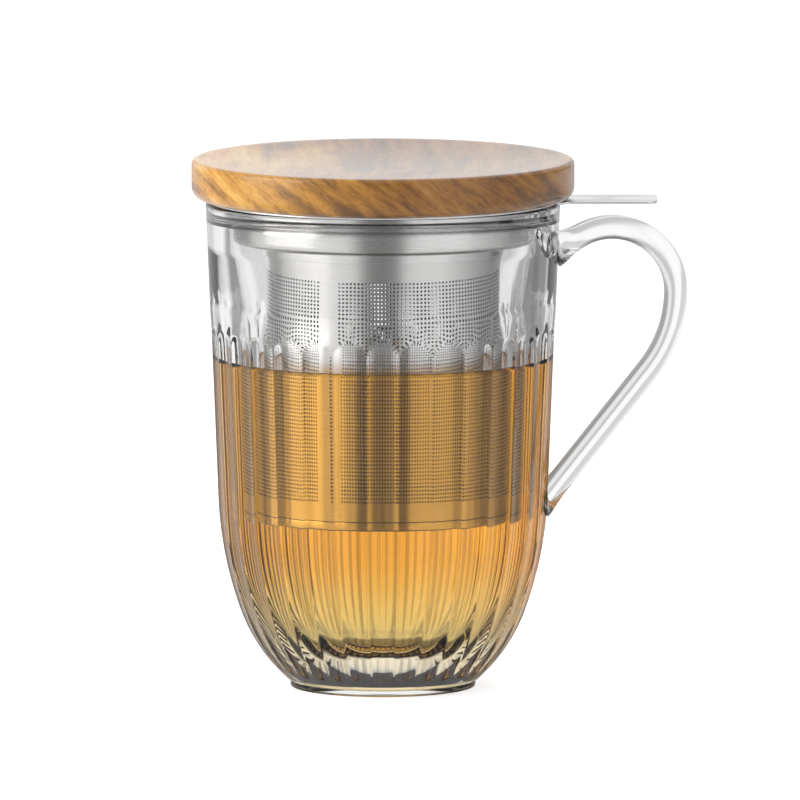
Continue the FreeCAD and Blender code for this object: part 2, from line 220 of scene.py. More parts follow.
def buildGlass():
    # One closed skin in rings: the foot's section, the outline less the flutes' hollows, taken
    # square to the wall, then the rim's and the inside's section down to the floor.
    pitch = 2 * math.pi / mugSizes["fluteCount"]
    puntRoof = mugSizes["puntRadius"] - mugSizes["puntLean"]
    half = np.array(fluteLines)
    across = np.concatenate([half, [0.5], 1 - half[:0:-1]]) - 0.5
    angle = (np.arange(mugSizes["fluteCount"])[:, None] * pitch + across[None, :] * pitch).ravel()
    lean = math.radians(mugSizes["wallLean"])
    top = -(mugSizes["fluteTop"] - mugSizes["heelTop"]) / math.cos(lean)
    length = heelLength()
    lipHeight = mugSizes["rimHeight"] - mugSizes["lipOuter"]
    lipDrop = -(lipHeight - mugSizes["heelTop"]) / math.cos(lean)
    stopDrop = length - mugSizes["fluteStop"]
    tongue = 1 - np.cos(np.linspace(0, math.pi / 2, 12))[:-1]
    drops = np.concatenate([
        np.linspace(length, stopDrop, 3)[:-1],
        stopDrop - mugSizes["fluteTongue"] * tongue,
        np.linspace(stopDrop - mugSizes["fluteTongue"], 0, 28)[:-1],
        np.linspace(0, top + mugSizes["fluteArch"], 14)[:-1],
        top + mugSizes["fluteArch"] * np.cos(np.linspace(0, math.pi / 2, 14)),
        np.linspace(top, lipDrop, 8)[1:],
    ])
    radius, height, turn = outline(drops)
    hollow = fluteHollow(drops[:, None], radius[:, None], angle[None, :])
    wallR = radius[:, None] - hollow * np.cos(turn)[:, None]
    wallZ = height[:, None] + hollow * np.sin(turn)[:, None]
    foot = roundedLine([
        (poleRadius, mugSizes["puntDepth"], 0),
        (puntRoof, mugSizes["puntDepth"], mugSizes["puntRoofRound"]),
        (mugSizes["puntRadius"], 0, mugSizes["puntRound"]),
        (mugSizes["footRadius"], 0, mugSizes["footRound"]),
        (mugSizes["footRadius"], mugSizes["footHeight"], mugSizes["footTopRound"]),
        (radius[0], mugSizes["footHeight"], 0),
    ], 18)[:-1]
    rim = roundedLine([
        (radius[-1], height[-1] - 1, 0),
        (mugSizes["rimRadius"], mugSizes["rimHeight"], mugSizes["lipOuter"]),
    ] + innerLine(), 6)[1:]
    ones = np.ones_like(angle)[None, :]
    ringR = np.concatenate([foot[:, :1] * ones, wallR, rim[:, :1] * ones])
    ringZ = np.concatenate([foot[:, 1:] * ones, wallZ, rim[:, 1:] * ones])
    points = np.stack([ringR * np.cos(angle), ringR * np.sin(angle), ringZ], axis=-1)
    return gridMesh("glassBody", points, closeStart=True, closeEnd=True)


glassBody = buildGlass()
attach(glassBody, "mug")
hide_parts("mug_body")
print("glass body made", len(glassBody.data.polygons))


# Glass handle

handleSizes = {  # radii of the centre line, slope of the lower run and tilt of the upper in degrees
    "reach": 70.5, "crown": 111.3, "bend": 15.3, "sweep": 31.0, "slope": 51.8, "tilt": 28.0,
    "thick": 5.7, "width": 9.5, "squareness": 2.6, "rootX": 40.6, "lowRootX": 37.4,
    "flare": 1.5, "lowFlare": 0.5, "flareLength": 4.0,
}


def handlePath():
    # The hook's centre line: a straight run, two arcs and a straight run, evenly spaced points
    s = handleSizes
    slope, tilt = math.radians(s["slope"]), math.radians(s["tilt"])
    centre = np.array([s["reach"] - s["bend"], s["crown"] - s["bend"]])
    sweepCentre = np.array([s["reach"] - s["sweep"], centre[1]])
    sweepAngle = np.linspace(slope - math.pi / 2, 0, 30)
    sweep = sweepCentre + s["sweep"] * np.stack([np.cos(sweepAngle), np.sin(sweepAngle)], axis=-1)
    bendAngle = np.linspace(0, math.pi / 2 + tilt, 60)
    bend = centre + s["bend"] * np.stack([np.cos(bendAngle), np.sin(bendAngle)], axis=-1)
    low = sweep[0] - np.array([1, math.tan(slope)]) * (sweep[0][0] - s["lowRootX"])
    high = bend[-1] - np.array([1, math.tan(tilt)]) * (bend[-1][0] - s["rootX"])
    run = np.linspace(0, 1, 40)[:-1, None]
    lowRun = low + (sweep[0] - low) * run
    highRun = bend[-1] + (high - bend[-1]) * np.linspace(0, 1, 24)[1:, None]
    return np.concatenate([lowRun, sweep, bend[1:], highRun])


def buildHandle():
    # A rounded oblong, cosine and sine raised to a power, carried along the path. It swells
    # towards each root by the flare times e to the minus square of the distance.
    path = handlePath()
    ahead = np.gradient(path, axis=0)
    ahead /= np.linalg.norm(ahead, axis=1)[:, None]
    side = np.stack([ahead[:, 1], -ahead[:, 0]], axis=-1)
    steps = np.linalg.norm(np.diff(path, axis=0), axis=1)
    along = np.concatenate([[0], np.cumsum(steps)])
    reach = handleSizes["flareLength"]
    swell = handleSizes["lowFlare"] * np.exp(-(along / reach) ** 2)
    swell += handleSizes["flare"] * np.exp(-((along[-1] - along) / reach) ** 2)
    angle = np.linspace(0, 2 * math.pi, 48, endpoint=False)
    power = 2 / handleSizes["squareness"]
    acrossShape = np.sign(np.cos(angle)) * np.abs(np.cos(angle)) ** power
    thickShape = np.sign(np.sin(angle)) * np.abs(np.sin(angle)) ** power
    across = (handleSizes["width"] / 2 + swell)[:, None] * acrossShape
    thick = (handleSizes["thick"] / 2 + swell)[:, None] * thickShape
    points = np.stack([
        path[:, :1] + side[:, :1] * thick,
        across,
        path[:, 1:] + side[:, 1:] * thick,
    ], axis=-1)
    return gridMesh("glassHandle", points, closeStart=True, closeEnd=True)


glassHandle = buildHandle()
mergeDoubles(glassHandle)
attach(glassHandle, "mug")
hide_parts("mug_handle")
print("glass handle made")


# Tea: fills the glass to below the shoulder; its skin lies just inside the glass wall's solid

teaSizes = {
    "surface": 78.8, "overlap": 0.12, "floorZone": 40.0,  # the overlap goes down below this height
    "meniscus": 1.1, "meniscusReach": 4.4, "meniscusEdge": 1.2, "flatRadius": 20.0,
}


def buildTea():
    # The inside of the glass moved out by the overlap, then a meniscus whose height falls from the
    # wall as e to minus four times the reached share, times what is left of it, then a flat middle.
    inner = roundedLine(innerLine(), 5)
    inner = inner[inner[:, 1] < teaSizes["surface"] - 2]
    throat = mugSizes["throatRadius"]
    lean = math.tan(math.radians(mugSizes["innerLean"]))
    edgeZ = teaSizes["surface"] + teaSizes["meniscus"]
    edgeR = throat - (mugSizes["throatHeight"] - edgeZ) * lean
    edge = teaSizes["meniscusEdge"]
    wall = np.array([[edgeR, edgeZ], [edgeR - edge * lean, edgeZ - edge]])
    skin = np.concatenate([wall, inner])
    skin[:, 0] += teaSizes["overlap"] * (skin[:, 0] > 1)
    skin[:, 1] -= teaSizes["overlap"] * (skin[:, 1] < teaSizes["floorZone"])
    reach = np.linspace(0, 1, 12)[1:]
    radius = skin[0, 0] - teaSizes["meniscusReach"] * reach
    height = teaSizes["surface"] + teaSizes["meniscus"] * np.exp(-4 * reach) * (1 - reach)
    top = np.stack([radius, height], axis=-1)
    flat = np.array([[teaSizes["flatRadius"], teaSizes["surface"]], [poleRadius, teaSizes["surface"]]])
    profile = np.concatenate([skin[::-1], top, flat])
    return spun("tea", profile, 256, closeStart=True, closeEnd=True)


tea = buildTea()
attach(tea, "mug")
print("tea made")


# Steel head of the infuser: flange, collar, shoulder and neck, one drawn sheet

headSizes = {
    "sheet": 0.6, "flangeRadius": 42.3, "flangeLow": 117.65, "collarRadius": 36.1,
    "collarLow": 108.35, "collarRound": 1.9, "neckDepth": 2.7, "neckInner": 28.65, "neckWall": 0.35,
    "tabReach": 65.9, "tabWidth": 16.0, "tabCorner": 2.5, "tabFillet": 3.0, "tabSpread": 2.2,
    "tabBury": 1.2, "tabEdge": 0.12,
}


def buildHead():
    # The sheet's section, down its outside and up its inside, turned once round the axis
    s = headSizes
    low, sheet, collar = s["flangeLow"], s["sheet"], s["collarRadius"]
    outside = roundedLine([
        (s["flangeRadius"] - 1, low, 0),
        (collar, low, 0.35),
        (collar, s["collarLow"], s["collarRound"]),
        (s["neckInner"] + s["neckWall"], s["collarLow"], 0.3),
        (s["neckInner"] + s["neckWall"], s["collarLow"] - s["neckDepth"], 0.12),
        (s["neckInner"], s["collarLow"] - s["neckDepth"], 0.12),
        (s["neckInner"], s["collarLow"] + sheet, 0.5),
        (collar - sheet, s["collarLow"] + sheet, s["collarRound"] - sheet),
        (collar - sheet, low + sheet, 0.8),
        (s["flangeRadius"], low + sheet, 0.2),
        (s["flangeRadius"], low, 0.2),
        (s["flangeRadius"] - 1, low, 0),
    ], 12)[:-1]
    return spun("infuserHead", outside, 256, loop=True)


def buildTab():
    # A flat plate that runs out from the ring, with rounded corners and a fillet at its root
    s = headSizes
    along = np.concatenate([np.linspace(0, 0.8, 24), np.linspace(0.8, 1, 16)[1:]])
    start = s["flangeRadius"] - s["tabBury"]
    x = start + along * (s["tabReach"] - start)
    toTip = np.clip(s["tabReach"] - x, 0, s["tabCorner"])
    left = s["tabCorner"] ** 2 - (s["tabCorner"] - toTip) ** 2
    corner = s["tabCorner"] - np.sqrt(np.maximum(left, 0))
    toRoot = np.clip((x - s["flangeRadius"]) / s["tabFillet"], 0, 1)
    fillet = s["tabFillet"] * (1 - np.sqrt(1 - (1 - toRoot) ** 2)) * (x > start)
    half = s["tabWidth"] / 2 - corner + np.clip(fillet, 0, s["tabSpread"])
    half = np.maximum(half, 0.05)
    edge = s["tabEdge"]
    low, high = s["flangeLow"] + 0.01, s["flangeLow"] + s["sheet"] - 0.01
    across = np.concatenate([np.linspace(-1, 1, 21), [1, 1], np.linspace(1, -1, 21), [-1, -1]])
    faceInset = np.concatenate([[edge], np.zeros(19), [edge]])
    inset = np.concatenate([faceInset, [0, 0], faceInset, [0, 0]])
    level = np.concatenate([
        np.full(21, low), [low + edge, high - edge], np.full(21, high), [high - edge, low + edge],
    ])
    pull = np.sign(across)[None, :] * inset[None, :] * np.minimum(half, 1)[:, None]
    y = across[None, :] * half[:, None] - pull
    points = np.stack([
        np.repeat(x[:, None], len(across), axis=1), y, np.repeat(level[None, :], len(x), axis=0),
    ], axis=-1)
    return gridMesh("thumbTab", points, closeStart=True, closeEnd=True)


infuserHead = buildHead()
thumbTab = buildTab()
mergeDoubles(thumbTab)
for piece in (infuserHead, thumbTab):
    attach(piece, "infuser")
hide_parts("infuser_head")
print("infuser head made")


# Filter tube: thin sheet with square rows of fine round holes and one plain band

filterSizes = {
    "radiusTop": 28.6, "radiusLow": 27.6, "top": 108.95, "low": 43.6, "wall": 0.3,
    "holesTop": 100.9, "holesLow": 47.9, "holeRows": 58, "holeColumns": 195, "holeRadius": 0.28,
    "bandAzimuth": -26.4, "bandWidth": 8.7,
    "lowRings": (0.12, 1.5), "topRings": (2.0, 5.0),  # plain rings above the low end and the holes
}


def buildFilter(name, inset):
    # Cells of a grid wrapped on a tube, each a square with an eight-sided hole. The radius grows
    # evenly from the low end to the top, less the inset; an inset sheet faces the tube's axis.
    s = filterSizes
    rows, columns = s["holeRows"], s["holeColumns"]
    pitchAngle = 2 * math.pi / columns
    pitchZ = (s["holesTop"] - s["holesLow"]) / rows
    plain = int(round(s["bandWidth"] / 360 * columns))
    cornerRow, cornerColumn = np.meshgrid(np.arange(rows + 1), np.arange(columns), indexing="ij")
    cornerAngle, cornerZ = cornerColumn.ravel() * pitchAngle, s["holesLow"] + cornerRow.ravel() * pitchZ
    flatCorner = np.stack([cornerAngle, cornerZ], axis=-1)
    holeRow, holeColumn = np.meshgrid(np.arange(rows), np.arange(plain, columns), indexing="ij")
    holeRow, holeColumn = holeRow.ravel(), holeColumn.ravel()
    turn = math.pi / 8 + np.arange(8) * math.pi / 4
    meanRadius = (s["radiusTop"] + s["radiusLow"]) / 2
    holeA = (holeColumn[:, None] + 0.5) * pitchAngle + s["holeRadius"] * np.cos(turn) / meanRadius
    holeZ = s["holesLow"] + (holeRow[:, None] + 0.5) * pitchZ + s["holeRadius"] * np.sin(turn)
    flatHole = np.stack([holeA.ravel(), holeZ.ravel()], axis=-1)
    lowZ = [s["low"] + rise for rise in s["lowRings"]]
    topZ = [s["holesTop"] + rise for rise in s["topRings"]]
    extraZ = np.array(lowZ + topZ + [s["top"]])
    extraAngle = np.tile(np.arange(columns) * pitchAngle, len(extraZ))
    extra = np.stack([extraAngle, np.repeat(extraZ, columns)], axis=-1)
    flat = np.concatenate([flatCorner, flatHole, extra])
    base = len(flatCorner)

    def cornerIndex(i, j):
        return i * columns + j % columns

    lowLeft, lowRight = cornerIndex(holeRow, holeColumn), cornerIndex(holeRow, holeColumn + 1)
    highLeft, highRight = cornerIndex(holeRow + 1, holeColumn), cornerIndex(holeRow + 1, holeColumn + 1)
    hole = base + np.arange(len(holeRow))[:, None] * 8 + np.arange(8)[None, :]
    quads = np.concatenate([
        np.stack([lowRight, highRight, hole[:, 0], hole[:, 7]], axis=-1),
        np.stack([highRight, highLeft, hole[:, 2], hole[:, 1]], axis=-1),
        np.stack([highLeft, lowLeft, hole[:, 4], hole[:, 3]], axis=-1),
        np.stack([lowLeft, lowRight, hole[:, 6], hole[:, 5]], axis=-1),
    ])
    triangles = np.concatenate([
        np.stack([highRight, hole[:, 1], hole[:, 0]], axis=-1),
        np.stack([highLeft, hole[:, 3], hole[:, 2]], axis=-1),
        np.stack([lowLeft, hole[:, 5], hole[:, 4]], axis=-1),
        np.stack([lowRight, hole[:, 7], hole[:, 6]], axis=-1),
    ])
    plainRow, plainColumn = np.meshgrid(np.arange(rows), np.arange(plain), indexing="ij")
    plainRow, plainColumn = plainRow.ravel(), plainColumn.ravel()
    band = np.stack([
        cornerIndex(plainRow, plainColumn), cornerIndex(plainRow, plainColumn + 1),
        cornerIndex(plainRow + 1, plainColumn + 1), cornerIndex(plainRow + 1, plainColumn),
    ], axis=-1)
    ring = np.arange(columns)
    after = (ring + 1) % columns
    extraBase = base + len(flatHole)
    lowest, lower, upper, higher, highest = extraBase + np.arange(len(extraZ)) * columns
    topRow = rows * columns
    strips = []
    joins = ((lowest, lower), (lower, 0), (topRow, upper), (upper, higher), (higher, highest))
    for below, above in joins:
        strips.append(np.stack([below + ring, below + after, above + after, above + ring], axis=-1))
    faces = np.concatenate([quads, band] + strips).tolist() + triangles.tolist()
    angle = flat[:, 0] + math.radians(s["bandAzimuth"] - 90 - s["bandWidth"] / 2)
    share = (flat[:, 1] - s["low"]) / (s["top"] - s["low"])
    radius = s["radiusLow"] + share * (s["radiusTop"] - s["radiusLow"]) - inset
    verts = np.stack([radius * np.cos(angle), radius * np.sin(angle), flat[:, 1]], axis=-1)
    if inset > 0:
        faces = [face[::-1] for face in faces]
    return newPiece(name, verts, faces)


filterTube = buildFilter("filterTube", 0)
# A near-black liner just inside the tube: painted shade, so that the holes look dark
filterShadeLiner = buildFilter("filterShadeLiner", filterSizes["wall"])
for piece in (filterTube, filterShadeLiner):
    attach(piece, "infuser")
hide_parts("filter_tube")
print("filter tube made", len(filterTube.data.polygons))


# Pressed cap that closes the tube

capSizes = {
    "radius": 27.6, "low": 41.5, "height": 2.1, "edge": 0.5, "wall": 0.6, "spigot": 2.5,
    "step": 0.45,  # the spigot stands this far inside the tube
    "topRound": 0.2, "seatRound": 0.02, "spigotRound": 0.1, "floorRound": 0.4,
}


def buildCap():
    # A pressed dish with a spigot that plugs into the tube: its section turned round the axis
    s = capSizes
    inner = s["radius"] - s["step"]
    top = s["low"] + s["height"]
    profile = roundedLine([
        (poleRadius, s["low"], 0),
        (s["radius"], s["low"], s["edge"]),
        (s["radius"], top, s["topRound"]),
        (inner, top, s["seatRound"]),
        (inner, top + s["spigot"], s["spigotRound"]),
        (inner - s["wall"], top + s["spigot"], s["spigotRound"]),
        (inner - s["wall"], s["low"] + s["wall"], s["floorRound"]),
        (poleRadius, s["low"] + s["wall"], 0),
    ], 14)
    return spun("filterCap", profile, 192, closeStart=True, closeEnd=True)


filterCap = buildCap()
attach(filterCap, "infuser")
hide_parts("filter_cap")
print("filter cap made")


# Wooden lid

lidSizes = {
    "radius": 46.1, "low": 118.3, "thick": 9.5, "baseRound": 3.0, "topRound": 1.2,
    "dishEdge": 2.6, "dishDepth": 1.7, "plugRadius": 34.3, "plugDepth": 7.0, "plugChamfer": 0.8,
    "sealTop": 115.9, "sealHeight": 2.4, "sealGroove": 1.4, "grooveRound": 0.1, "plugRoot": 0.5,
    "dishShare": 0.985,  # of the dish's reach, from its edge in to the last ring
}


def buildLid():
    # The disc and its plug as one section turned round the axis. The dish on top is a parabola:
    # its depth times one minus the square of the share of its reach.
    s = lidSizes
    high = s["low"] + s["thick"]
    plugLow = s["low"] - s["plugDepth"]
    dishReach = s["radius"] - s["dishEdge"]
    grooveLow, grooveRadius = s["sealTop"] - s["sealHeight"], s["plugRadius"] - s["sealGroove"]
    side = roundedLine([
        (poleRadius, plugLow, 0),
        (s["plugRadius"], plugLow, s["plugChamfer"]),
        (s["plugRadius"], grooveLow, s["grooveRound"]),
        (grooveRadius, grooveLow, s["grooveRound"]),
        (grooveRadius, s["sealTop"], s["grooveRound"]),
        (s["plugRadius"], s["sealTop"], s["grooveRound"]),
        (s["plugRadius"], s["low"], s["plugRoot"]),
        (s["radius"], s["low"], s["baseRound"]),
        (s["radius"], high, s["topRound"]),
        (dishReach, high, 0),
    ], 9)
    radius = dishReach * (1 - np.linspace(0, s["dishShare"], 26)[1:])
    bowl = np.stack([radius, high - s["dishDepth"] * (1 - (radius / dishReach) ** 2)], axis=-1)
    return spun("woodLid", np.concatenate([side, bowl]), 256, closeStart=True, closeEnd=True)


woodLid = buildLid()
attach(woodLid, "lid")
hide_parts("lid_disc")


# Soft ring in the groove of the plug

sealSizes = {
    "clear": 0.1, "collarGap": 0.12, "seam": 0.2, "lowLip": 0.1, "lowThick": 0.75, "highThick": 0.65,
    "lean": 0.2, "waist": 0.15, "footRound": 0.15, "lipRound": 0.3, "waistRound": 0.2,
}


def buildSeal():
    # A moulded ring with two soft lips that lean outwards: its section turned round the axis,
    # clear of the groove's walls, and a little clear of the collar
    s, t = lidSizes, sealSizes
    groove = s["plugRadius"] - s["sealGroove"] + t["clear"]
    low, high = s["sealTop"] - s["sealHeight"] + t["clear"], s["sealTop"] - t["clear"]
    outer = headSizes["collarRadius"] - headSizes["sheet"] - t["collarGap"]
    middle = (low + high) / 2
    profile = roundedLine([
        (groove, low + t["seam"], 0),
        (groove, low, t["footRound"]),
        (outer, low + t["lowLip"], t["lipRound"]),
        (outer - t["lean"], low + t["lowThick"], t["waistRound"]),
        (s["plugRadius"] + t["waist"], middle, t["waistRound"]),
        (outer, high - t["highThick"], t["lipRound"]),
        (outer - t["lean"], high, t["waistRound"]),
        (groove, high, t["footRound"]),
        (groove, low + t["seam"], 0),
    ], 20)[:-1]
    return spun("lidSeal", profile, 192, loop=True)


lidSeal = buildSeal()
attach(lidSeal, "lid")
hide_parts("lid_seal")
print("lid made")


# Materials

def newMaterial(name):
    # A material with its node tree and its one shader
    material = bpy.data.materials.new(name)
    material.use_nodes = True
    tree = material.node_tree
    return material, tree, tree.nodes["Principled BSDF"]


def node(tree, kind, **values):
    # A new node; each value goes to the input of that name, or else to the node itself
    made = tree.nodes.new(kind)
    for key, value in values.items():
        if key in made.inputs:
            made.inputs[key].default_value = value
        else:
            setattr(made, key, value)
    return made


def mapped(tree, scale, turn=(0, 0, 0)):
    # Object coordinates in millimetres, scaled and turned
    coordinates = node(tree, "ShaderNodeTexCoord")
    mapping = node(tree, "ShaderNodeMapping")
    mapping.inputs["Scale"].default_value = [1000 * part for part in scale]
    mapping.inputs["Rotation"].default_value = turn
    tree.links.new(coordinates.outputs["Object"], mapping.inputs["Vector"])
    return mapping.outputs["Vector"]


glassLook = {"ior": 1.5, "waviness": 0.12}


def glassMaterial():
    # Clear pressed glass with a faint slow waviness
    material, tree, shader = newMaterial("clearGlass")
    shader.inputs["Base Color"].default_value = (1, 1, 1, 1)
    shader.inputs["Roughness"].default_value = 0.0
    shader.inputs["IOR"].default_value = glassLook["ior"]
    shader.inputs["Transmission Weight"].default_value = 1.0
    noise = node(tree, "ShaderNodeTexNoise", Scale=1.0, Detail=2.0)
    bump = node(tree, "ShaderNodeBump", Strength=glassLook["waviness"], Distance=0.0002)
    tree.links.new(mapped(tree, (0.06, 0.06, 0.03)), noise.inputs["Vector"])
    tree.links.new(noise.outputs["Fac"], bump.inputs["Height"])
    tree.links.new(bump.outputs["Normal"], shader.inputs["Normal"])
    return material


teaLook = {  # the tint is deep round the basket and paler towards the floor of the glass
    "deepTint": (1.0, 0.53, 0.09, 1), "paleTint": (1.0, 0.82, 0.45, 1), "paleBelow": 0.012, "deepAbove": 0.037,
    "ior": 1.33, "stain": (0.98, 0.80, 0.06, 1), "density": 19.0,
}


def teaMaterial():
    # A warm tint at the surface and a light absorption by depth, so thin and deep tea both glow
    material, tree, shader = newMaterial("amberTea")
    place = node(tree, "ShaderNodeTexCoord")
    split = node(tree, "ShaderNodeSeparateXYZ")
    tree.links.new(place.outputs["Object"], split.inputs["Vector"])
    height = node(tree, "ShaderNodeMapRange", interpolation_type="SMOOTHSTEP")
    height.inputs["From Min"].default_value = teaLook["paleBelow"]
    height.inputs["From Max"].default_value = teaLook["deepAbove"]
    tree.links.new(split.outputs["Z"], height.inputs["Value"])
    tintByHeight = node(tree, "ShaderNodeMix", data_type="RGBA")
    tintByHeight.inputs[6].default_value = teaLook["paleTint"]
    tintByHeight.inputs[7].default_value = teaLook["deepTint"]
    tree.links.new(height.outputs["Result"], tintByHeight.inputs["Factor"])
    tree.links.new(tintByHeight.outputs[2], shader.inputs["Base Color"])
    shader.inputs["Roughness"].default_value = 0.0
    shader.inputs["IOR"].default_value = teaLook["ior"]
    shader.inputs["Transmission Weight"].default_value = 1.0
    absorb = node(tree, "ShaderNodeVolumeAbsorption")
    absorb.inputs["Color"].default_value = teaLook["stain"]
    absorb.inputs["Density"].default_value = teaLook["density"]
    output = tree.nodes["Material Output"]
    tree.links.new(absorb.outputs["Volume"], output.inputs["Volume"])
    return material


steelLooks = {  # roughness and shade; the inner sheet is near-black painted shade inside the tube, so that the holes read as holes
    "brushedSteel": (0.26, 0.8), "filterSteel": (0.3, 0.8), "filterPaintedShade": (0.5, 0.05),
}
steelStreaks = (0.05, 0.05, 6.0)  # fine along the axis, so the brushed lines run round it


def steelMaterial(name):
    # Brushed steel: colour, roughness and bump follow one noise, and the sheen runs up and down
    roughness, shade = steelLooks[name]
    material, tree, shader = newMaterial(name)
    shader.inputs["Metallic"].default_value = 1.0
    shader.inputs["Anisotropic"].default_value = 0.7
    shader.inputs["Anisotropic Rotation"].default_value = 0.25
    noise = node(tree, "ShaderNodeTexNoise", Scale=1.0, Detail=4.0)
    tree.links.new(mapped(tree, steelStreaks), noise.inputs["Vector"])
    colour = node(tree, "ShaderNodeValToRGB")
    colour.color_ramp.elements[0].color = (shade * 0.86, shade * 0.85, shade * 0.83, 1)
    colour.color_ramp.elements[1].color = (shade * 1.08, shade * 1.08, shade * 1.07, 1)
    tree.links.new(noise.outputs["Fac"], colour.inputs["Fac"])
    tree.links.new(colour.outputs["Color"], shader.inputs["Base Color"])
    rough = node(tree, "ShaderNodeMapRange")
    rough.inputs["To Min"].default_value = roughness * 0.75
    rough.inputs["To Max"].default_value = roughness * 1.3
    tree.links.new(noise.outputs["Fac"], rough.inputs["Value"])
    tree.links.new(rough.outputs["Result"], shader.inputs["Roughness"])
    bump = node(tree, "ShaderNodeBump", Strength=0.2, Distance=0.00002)
    tree.links.new(noise.outputs["Fac"], bump.inputs["Height"])
    tree.links.new(bump.outputs["Normal"], shader.inputs["Normal"])
    tangent = node(tree, "ShaderNodeTangent", direction_type="RADIAL", axis="Z")
    tree.links.new(tangent.outputs["Tangent"], shader.inputs["Tangent"])
    return material


woodLook = {
    "lean": -38.0, "turn": 8.0,  # tilt of the growth layers and turn of the grain, in degrees
    "roughness": 0.3, "specular": 0.35, "coat": 0.8, "coatRoughness": 0.2,
    "dark": (0.12, 0.05, 0.01, 1), "brown": (0.34, 0.15, 0.022, 1),
    "orange": (0.78, 0.37, 0.045, 1), "pale": (0.98, 0.62, 0.16, 1),
    "shade": (0.46, 0.39, 0.32, 1), "paintedShadeFrom": -0.042, "paintedShadeTo": 0.004,  # painted shade, darker from left to right
}
# Pores, broad figure and streaks: turns per mm, warp, detail, roughness and weight of each noise
woodLayers = [
    ((0.5, 0.04, 1.9), 0.4, 3.0, 0.7, 0.35),
    ((0.03, 0.012, 0.11), 0.8, 5.0, 0.55, 0.9),
    ((0.07, 0.02, 0.45), 0.7, 7.0, 0.6, 0.75),
]


def woodMaterial():
    # Growth layers tilted down to the right, with the grain running along Y: the sum of three
    # noises, stretched along the layers and bent by a slow warp, read through a ramp of wood tones,
    # then darkened from left to right by painted shade.
    material, tree, shader = newMaterial("oiledWood")
    shader.inputs["Roughness"].default_value = woodLook["roughness"]
    shader.inputs["Specular IOR Level"].default_value = woodLook["specular"]
    shader.inputs["Coat Weight"].default_value = woodLook["coat"]
    shader.inputs["Coat Roughness"].default_value = woodLook["coatRoughness"]
    lean = (0.0, math.radians(woodLook["lean"]), math.radians(woodLook["turn"]))
    layers = mapped(tree, (1, 1, 1), lean)
    warp = node(tree, "ShaderNodeTexNoise", Scale=1.0, Detail=2.0)
    tree.links.new(mapped(tree, (0.03, 0.05, 0.05)), warp.inputs["Vector"])
    total = None
    for scale, shift, detail, roughness, weight in woodLayers:
        space = node(tree, "ShaderNodeVectorMath", operation="MULTIPLY")
        space.inputs[1].default_value = scale
        tree.links.new(layers, space.inputs[0])
        bent = node(tree, "ShaderNodeVectorMath", operation="MULTIPLY_ADD")
        bent.inputs[1].default_value = (shift, shift, shift)
        tree.links.new(warp.outputs["Color"], bent.inputs[0])
        tree.links.new(space.outputs["Vector"], bent.inputs[2])
        noise = node(tree, "ShaderNodeTexNoise", Scale=1.0, Detail=detail, Roughness=roughness)
        tree.links.new(bent.outputs["Vector"], noise.inputs["Vector"])
        summed = node(tree, "ShaderNodeMath", operation="MULTIPLY_ADD")
        summed.inputs[1].default_value = weight
        summed.inputs[2].default_value = 0.0
        tree.links.new(noise.outputs["Fac"], summed.inputs[0])
        if total is not None:
            tree.links.new(total, summed.inputs[2])
        total = summed.outputs["Value"]
    spread = node(tree, "ShaderNodeMapRange")
    spread.inputs["From Min"].default_value = 0.66
    spread.inputs["From Max"].default_value = 1.26
    tree.links.new(total, spread.inputs["Value"])
    ramp = node(tree, "ShaderNodeValToRGB")
    stops = ramp.color_ramp.elements
    stops[0].position, stops[0].color = 0.0, woodLook["dark"]
    stops[1].position, stops[1].color = 1.0, woodLook["pale"]
    stops.new(0.38).color = woodLook["brown"]
    stops.new(0.68).color = woodLook["orange"]
    tree.links.new(spread.outputs["Result"], ramp.inputs["Fac"])
    # Painted shade: the colour darkens from left to right across the lid, as if lit from the left
    place = node(tree, "ShaderNodeTexCoord")
    split = node(tree, "ShaderNodeSeparateXYZ")
    tree.links.new(place.outputs["Object"], split.inputs["Vector"])
    side = node(tree, "ShaderNodeMapRange")
    side.inputs["From Min"].default_value = woodLook["paintedShadeFrom"]
    side.inputs["From Max"].default_value = woodLook["paintedShadeTo"]
    tree.links.new(split.outputs["X"], side.inputs["Value"])
    shade = node(tree, "ShaderNodeMix", data_type="RGBA")
    shade.inputs[6].default_value = (1.0, 1.0, 1.0, 1)
    shade.inputs[7].default_value = woodLook["shade"]
    tree.links.new(side.outputs["Result"], shade.inputs["Factor"])
    grainTimesShade = node(tree, "ShaderNodeMix", data_type="RGBA", blend_type="MULTIPLY")
    grainTimesShade.inputs["Factor"].default_value = 1.0
    tree.links.new(ramp.outputs["Color"], grainTimesShade.inputs[6])
    tree.links.new(shade.outputs[2], grainTimesShade.inputs[7])
    tree.links.new(grainTimesShade.outputs[2], shader.inputs["Base Color"])
    bump = node(tree, "ShaderNodeBump", Strength=0.25, Distance=0.0001)
    tree.links.new(total, bump.inputs["Height"])
    tree.links.new(bump.outputs["Normal"], shader.inputs["Normal"])
    return material


siliconeLook = {
    "roughness": 0.45, "softness": 0.2,
    "dull": (0.72, 0.72, 0.69, 1), "clear": (0.84, 0.84, 0.81, 1),
}


def siliconeMaterial():
    # Milky moulded silicone, a little cloudy
    material, tree, shader = newMaterial("clearSilicone")
    shader.inputs["Roughness"].default_value = siliconeLook["roughness"]
    shader.inputs["Subsurface Weight"].default_value = siliconeLook["softness"]
    shader.inputs["Subsurface Scale"].default_value = 0.001
    noise = node(tree, "ShaderNodeTexNoise", Scale=1.0, Detail=3.0)
    tree.links.new(mapped(tree, (0.8, 0.8, 0.8)), noise.inputs["Vector"])
    ramp = node(tree, "ShaderNodeValToRGB")
    ramp.color_ramp.elements[0].color = siliconeLook["dull"]
    ramp.color_ramp.elements[1].color = siliconeLook["clear"]
    tree.links.new(noise.outputs["Fac"], ramp.inputs["Fac"])
    tree.links.new(ramp.outputs["Color"], shader.inputs["Base Color"])
    return material


def dress(material, *pieces):
    # One material on the whole of each piece
    for piece in pieces:
        piece.data.materials.clear()
        piece.data.materials.append(material)


